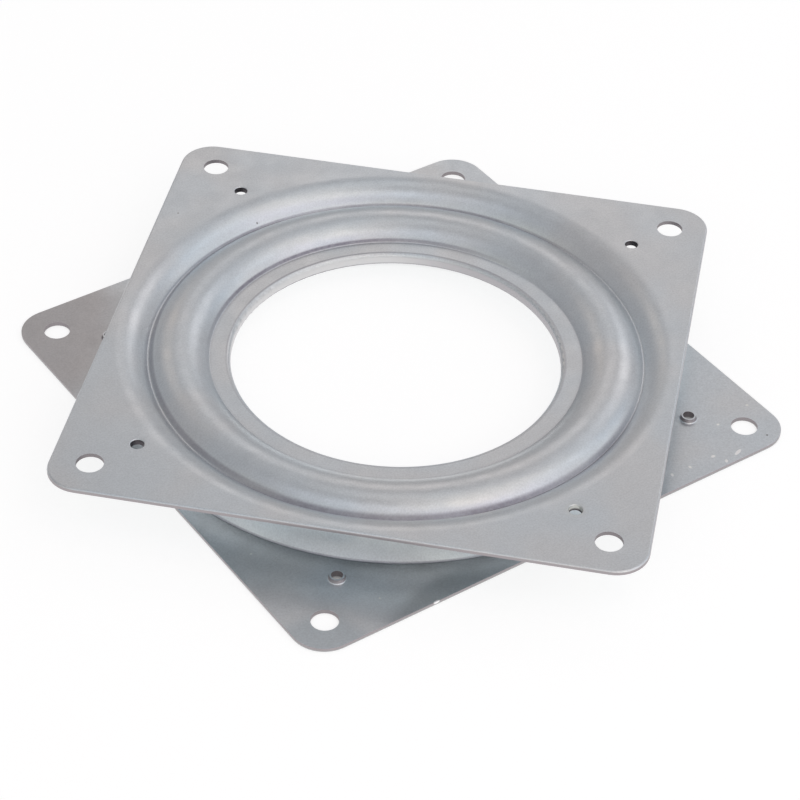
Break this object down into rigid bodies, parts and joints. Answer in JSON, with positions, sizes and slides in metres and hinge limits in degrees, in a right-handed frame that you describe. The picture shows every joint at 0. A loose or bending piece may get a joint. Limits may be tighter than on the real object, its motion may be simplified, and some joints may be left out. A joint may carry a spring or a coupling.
{
  "type": "lazy susan bearing",
  "caption": "Flat square turntable bearing: pressed steel plates that turn on each other on a ring of loose balls, open through the middle, with screw holes at the corners.",
  "frame": {"origin": "centre of the base plate's underside, on the turning axis", "axes": "+Z along the turning axis from the base plate to the top plate; X and Y along the base plate's sides"},
  "size_m": [0.1386, 0.1386, 0.0097],
  "materials": {
    "base_plate_steel": "satin zinc plate, slightly mottled",
    "top_plate_steel": "satin zinc plate, slightly mottled",
    "ball_steel": "polished hardened steel"
  },
  "bodies": {
    "base": {"base_plate": "base_plate_steel"},
    "ball_ring": {"ball_01": "ball_steel", "ball_02": "ball_steel", "ball_03": "ball_steel", "ball_04": "ball_steel", "ball_05": "ball_steel", "ball_06": "ball_steel", "ball_07": "ball_steel", "ball_08": "ball_steel", "ball_09": "ball_steel", "ball_10": "ball_steel", "ball_11": "ball_steel", "ball_12": "ball_steel", "ball_13": "ball_steel", "ball_14": "ball_steel", "ball_15": "ball_steel", "ball_16": "ball_steel", "ball_17": "ball_steel", "ball_18": "ball_steel", "ball_19": "ball_steel", "ball_20": "ball_steel", "ball_21": "ball_steel", "ball_22": "ball_steel", "ball_23": "ball_steel", "ball_24": "ball_steel", "ball_25": "ball_steel", "ball_26": "ball_steel", "ball_27": "ball_steel", "ball_28": "ball_steel", "ball_29": "ball_steel", "ball_30": "ball_steel", "ball_31": "ball_steel", "ball_32": "ball_steel", "ball_33": "ball_steel", "ball_34": "ball_steel", "ball_35": "ball_steel", "ball_36": "ball_steel", "ball_37": "ball_steel", "ball_38": "ball_steel"},
    "turning_plate": {"top_plate": "top_plate_steel"}
  },
  "joints": [
    {"name": "plate_turn", "type": "hinge", "parent": "base", "child": "turning_plate", "pos_m": [0, 0, 0.00483], "axis": [0, 0, 1], "continuous": true},
    {"name": "ball_ring_turn", "type": "hinge", "parent": "base", "child": "ball_ring", "pos_m": [0, 0, 0.00483], "axis": [0, 0, 1], "continuous": true}
  ],
  "couplings": [
    {"joint": "ball_ring_turn", "follows": "plate_turn", "ratio": 0.5}
  ]
}
